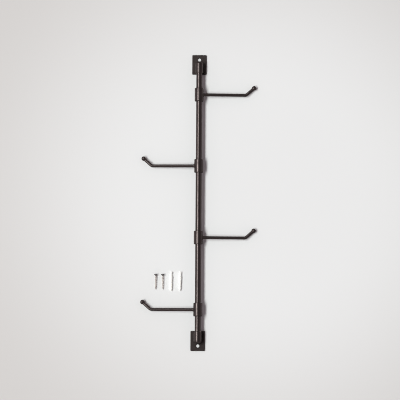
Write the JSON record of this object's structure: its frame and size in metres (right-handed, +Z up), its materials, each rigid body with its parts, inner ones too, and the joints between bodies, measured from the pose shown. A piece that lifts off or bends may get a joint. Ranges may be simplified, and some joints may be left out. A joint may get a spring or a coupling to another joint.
{
  "type": "swivel hook wall rack",
  "caption": "Upright round rod between screwed-on wall plates, with swivelling ball-tipped hook arms on collars that turn about the rod.",
  "frame": {"origin": "on the wall plane, midway between the two wall-screw holes", "axes": "+Z up along the rod, +X to the right as seen from the room, +Y into the wall"},
  "size_m": [0.2316, 0.02, 0.6],
  "materials": {
    "powder_coat": "satin dark bronze-black powder coat",
    "set_screw_steel": "black oxide steel",
    "wall_screw_steel": "grey zinc-phosphate steel",
    "plug_nylon": "natural white nylon"
  },
  "bodies": {
    "frame": {"upper_wall_plate": "powder_coat", "lower_wall_plate": "powder_coat", "upper_rod_socket": "powder_coat", "lower_rod_socket": "powder_coat", "upright_rod": "powder_coat", "upper_socket_set_screw": "set_screw_steel", "lower_socket_set_screw": "set_screw_steel", "wall_screw_1": "wall_screw_steel", "wall_screw_2": "wall_screw_steel", "wall_plug_1": "plug_nylon", "wall_plug_2": "plug_nylon"},
    "hook_1": {"swivel_collar_1": "powder_coat", "collar_set_screw_1": "set_screw_steel", "hook_arm_1": "powder_coat", "hook_ball_1": "powder_coat"},
    "hook_2": {"swivel_collar_2": "powder_coat", "collar_set_screw_2": "set_screw_steel", "hook_arm_2": "powder_coat", "hook_ball_2": "powder_coat"},
    "hook_3": {"swivel_collar_3": "powder_coat", "collar_set_screw_3": "set_screw_steel", "hook_arm_3": "powder_coat", "hook_ball_3": "powder_coat"},
    "hook_4": {"swivel_collar_4": "powder_coat", "collar_set_screw_4": "set_screw_steel", "hook_arm_4": "powder_coat", "hook_ball_4": "powder_coat"}
  },
  "joints": [
    {"name": "hook_1_swivel", "type": "hinge", "parent": "frame", "child": "hook_1", "pos_m": [0, -0.011, 0.2175], "axis": [0, 0, 1], "range_deg": [-186.53, 0]},
    {"name": "hook_2_swivel", "type": "hinge", "parent": "frame", "child": "hook_2", "pos_m": [0, -0.011, 0.0725], "axis": [0, 0, 1], "range_deg": [0, 186.53]},
    {"name": "hook_3_swivel", "type": "hinge", "parent": "frame", "child": "hook_3", "pos_m": [0, -0.011, -0.0725], "axis": [0, 0, 1], "range_deg": [-186.53, 0]},
    {"name": "hook_4_swivel", "type": "hinge", "parent": "frame", "child": "hook_4", "pos_m": [0, -0.011, -0.2175], "axis": [0, 0, 1], "range_deg": [0, 186.53]}
  ]
}
